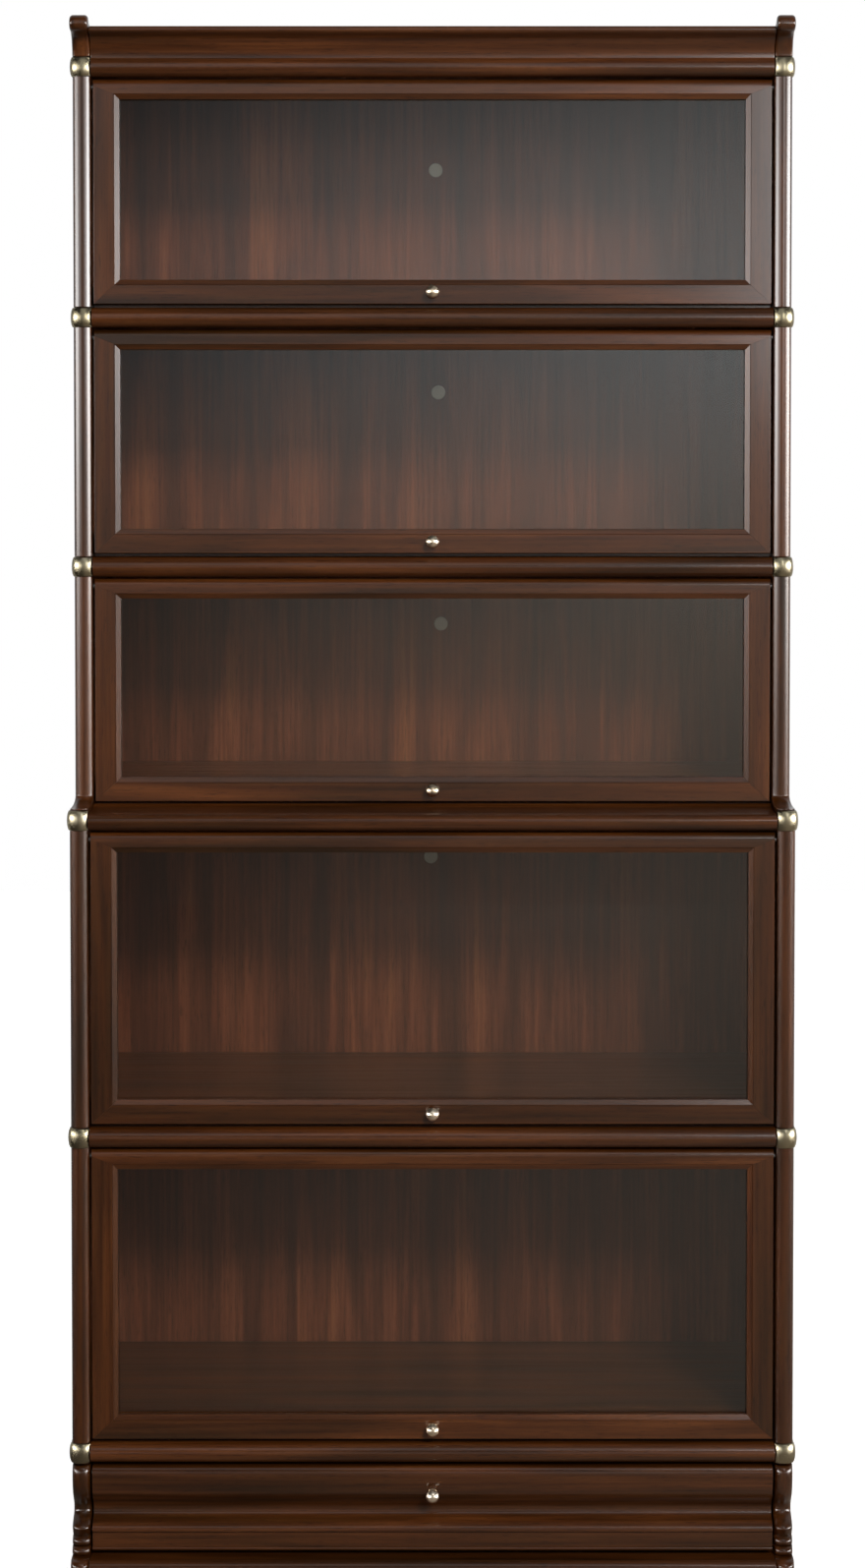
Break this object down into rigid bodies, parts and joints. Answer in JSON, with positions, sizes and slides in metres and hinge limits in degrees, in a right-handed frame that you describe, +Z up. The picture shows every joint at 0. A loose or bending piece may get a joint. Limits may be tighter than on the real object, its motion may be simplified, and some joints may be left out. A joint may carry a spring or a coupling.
{
  "type": "stacking bookcase with glass doors",
  "caption": "Tall stacking bookcase: glazed lift-up doors that slide back, deeper lower sections, a base with a drawer, brass side bands and a moulded cornice.",
  "frame": {"origin": "on the floor, under the middle of the bookcase's outline", "axes": "+Z up, the doors face -Y, +X to the right of someone facing the doors"},
  "size_m": [0.871, 0.365, 1.9198],
  "materials": {
    "mahogany": "satin lacquer over dark red-brown mahogany",
    "back_wood": "satin, straight vertical grain",
    "brass": "polished, pale",
    "steel": "bright drawn",
    "glass": "clear float"
  },
  "bodies": {
    "carcass": {"base_left_side": "mahogany", "base_right_side": "mahogany", "base_plinth_frame": "mahogany", "base_left_band": "brass", "base_right_band": "brass", "section_1_left_side": "mahogany", "section_1_right_side": "mahogany", "section_1_back_panel": "back_wood", "section_1_shelf_board": "mahogany", "section_1_left_band": "brass", "section_1_right_band": "brass", "section_2_left_side": "mahogany", "section_2_right_side": "mahogany", "section_2_back_panel": "back_wood", "section_2_shelf_board": "mahogany", "section_2_left_band": "brass", "section_2_right_band": "brass", "section_3_left_side": "mahogany", "section_3_right_side": "mahogany", "section_3_back_panel": "back_wood", "section_3_shelf_board": "mahogany", "section_3_left_band": "brass", "section_3_right_band": "brass", "section_4_left_side": "mahogany", "section_4_right_side": "mahogany", "section_4_back_panel": "back_wood", "section_4_shelf_board": "mahogany", "section_4_left_band": "brass", "section_4_right_band": "brass", "section_5_left_side": "mahogany", "section_5_right_side": "mahogany", "section_5_back_panel": "back_wood", "section_5_shelf_board": "mahogany", "section_5_left_band": "brass", "section_5_right_band": "brass", "cornice_frieze": "mahogany", "cornice_left_bracket": "mahogany", "cornice_right_bracket": "mahogany"},
    "drawer": {"drawer": "mahogany", "drawer_knob": "brass"},
    "door_1_carriage": {"door_1_pivot_rod": "steel"},
    "door_1": {"door_1_frame": "mahogany", "door_1_glass": "glass", "door_1_knob": "brass"},
    "door_2_carriage": {"door_2_pivot_rod": "steel"},
    "door_2": {"door_2_frame": "mahogany", "door_2_glass": "glass", "door_2_knob": "brass"},
    "door_3_carriage": {"door_3_pivot_rod": "steel"},
    "door_3": {"door_3_frame": "mahogany", "door_3_glass": "glass", "door_3_knob": "brass"},
    "door_4_carriage": {"door_4_pivot_rod": "steel"},
    "door_4": {"door_4_frame": "mahogany", "door_4_glass": "glass", "door_4_knob": "brass"},
    "door_5_carriage": {"door_5_pivot_rod": "steel"},
    "door_5": {"door_5_frame": "mahogany", "door_5_glass": "glass", "door_5_knob": "brass"}
  },
  "joints": [
    {"name": "drawer_slide", "type": "slide", "parent": "carcass", "child": "drawer", "axis": [0, -1, 0], "range_m": [0, 0.2]},
    {"name": "door_1_travel", "type": "slide", "parent": "carcass", "child": "door_1_carriage", "axis": [0, 1, 0], "range_m": [0, 0.297]},
    {"name": "door_1_swing", "type": "hinge", "parent": "door_1_carriage", "child": "door_1", "pos_m": [0, -0.1475, 0.5585], "axis": [-1, 0, 0], "range_deg": [0, 90]},
    {"name": "door_2_travel", "type": "slide", "parent": "carcass", "child": "door_2_carriage", "axis": [0, 1, 0], "range_m": [0, 0.297]},
    {"name": "door_2_swing", "type": "hinge", "parent": "door_2_carriage", "child": "door_2", "pos_m": [0, -0.1475, 0.9385], "axis": [-1, 0, 0], "range_deg": [0, 90]},
    {"name": "door_3_travel", "type": "slide", "parent": "carcass", "child": "door_3_carriage", "axis": [0, 1, 0], "range_m": [0, 0.217]},
    {"name": "door_3_swing", "type": "hinge", "parent": "door_3_carriage", "child": "door_3", "pos_m": [0, -0.0875, 1.2385], "axis": [-1, 0, 0], "range_deg": [0, 90]},
    {"name": "door_4_travel", "type": "slide", "parent": "carcass", "child": "door_4_carriage", "axis": [0, 1, 0], "range_m": [0, 0.217]},
    {"name": "door_4_swing", "type": "hinge", "parent": "door_4_carriage", "child": "door_4", "pos_m": [0, -0.0875, 1.5385], "axis": [-1, 0, 0], "range_deg": [0, 90]},
    {"name": "door_5_travel", "type": "slide", "parent": "carcass", "child": "door_5_carriage", "axis": [0, 1, 0], "range_m": [0, 0.217]},
    {"name": "door_5_swing", "type": "hinge", "parent": "door_5_carriage", "child": "door_5", "pos_m": [0, -0.0875, 1.8385], "axis": [-1, 0, 0], "range_deg": [0, 90]}
  ],
  "couplings": [
    {"joint": "door_1_travel", "follows": "door_1_swing", "m_per_rad": 0.18907},
    {"joint": "door_2_travel", "follows": "door_2_swing", "m_per_rad": 0.18907},
    {"joint": "door_3_travel", "follows": "door_3_swing", "m_per_rad": 0.13814},
    {"joint": "door_4_travel", "follows": "door_4_swing", "m_per_rad": 0.13814},
    {"joint": "door_5_travel", "follows": "door_5_swing", "m_per_rad": 0.13814}
  ]
}
